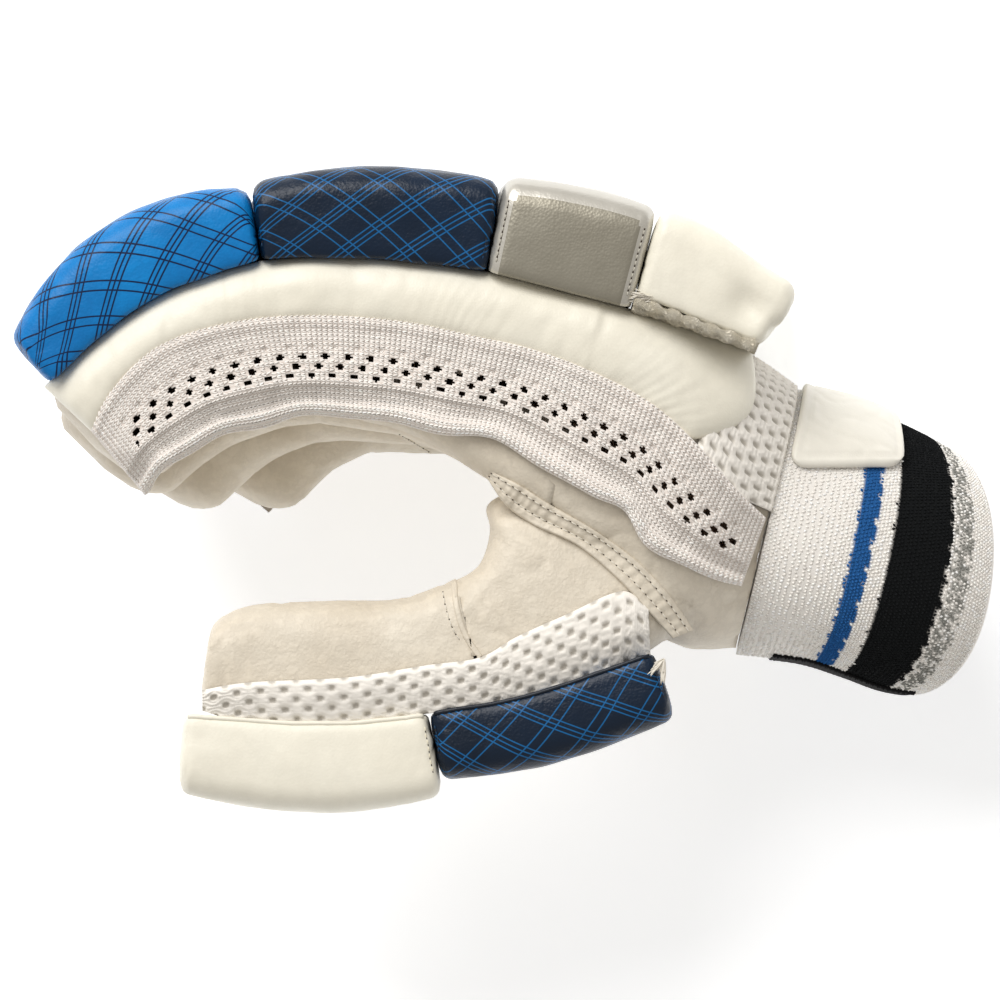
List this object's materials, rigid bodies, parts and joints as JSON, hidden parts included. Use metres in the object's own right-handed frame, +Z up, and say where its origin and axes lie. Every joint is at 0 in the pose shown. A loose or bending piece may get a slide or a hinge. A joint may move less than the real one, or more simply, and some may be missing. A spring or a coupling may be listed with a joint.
{
  "type": "cricket batting glove",
  "caption": "Right-hand cricket batting glove with padded finger rolls, pierced knit side gussets, air mesh panels and a striped knit cuff, lying on its little-finger side.",
  "frame": {"origin": "on the resting surface, under the middle of the glove's box", "axes": "+X from the fingertips to the cuff, +Y from the palm to the back of the hand, +Z up from the little-finger side to the index side"},
  "size_m": [0.246, 0.1594, 0.1028],
  "materials": {
    "palm_leather": "soft matt grain",
    "azure_leather": "smooth satin with a dark line lattice",
    "navy_leather": "satin with a blue line lattice",
    "silver_leather": "pebbled metallic satin",
    "cream_leather": "soft satin",
    "raw_leather": "raw flesh side",
    "air_mesh": "spacer mesh",
    "side_knit": "rib knit with open rows",
    "cuff_knit": "terry knit with blue, black and grey stripes",
    "strap_leather": "smooth satin",
    "black_elastic": "woven elastic"
  },
  "bodies": {
    "root": {"index_stall": "palm_leather", "index_tip_roll": "azure_leather", "index_middle_roll": "navy_leather", "index_base_roll": "silver_leather", "index_knuckle_block": "cream_leather", "index_welt": "raw_leather", "middle_stall": "palm_leather", "middle_tip_roll": "azure_leather", "middle_middle_roll": "navy_leather", "middle_base_roll": "silver_leather", "middle_knuckle_block": "cream_leather", "middle_welt": "raw_leather", "ring_stall": "palm_leather", "ring_tip_roll": "azure_leather", "ring_middle_roll": "navy_leather", "ring_base_roll": "silver_leather", "ring_knuckle_block": "cream_leather", "ring_welt": "raw_leather", "little_stall": "palm_leather", "little_tip_roll": "azure_leather", "little_middle_roll": "navy_leather", "little_base_roll": "silver_leather", "little_knuckle_block": "cream_leather", "little_welt": "raw_leather", "palm_shell": "palm_leather", "thumb_stall": "palm_leather", "thumb_tip_roll": "cream_leather", "thumb_base_roll": "navy_leather", "thumb_mesh": "air_mesh", "index_side_strip": "cream_leather", "little_side_strip": "cream_leather", "index_gusset": "side_knit", "little_gusset": "side_knit", "back_mesh": "air_mesh", "palm_seam": "palm_leather", "cuff": "cuff_knit", "wrist_strap": "strap_leather", "wrist_elastic": "black_elastic"}
  },
  "joints": []
}
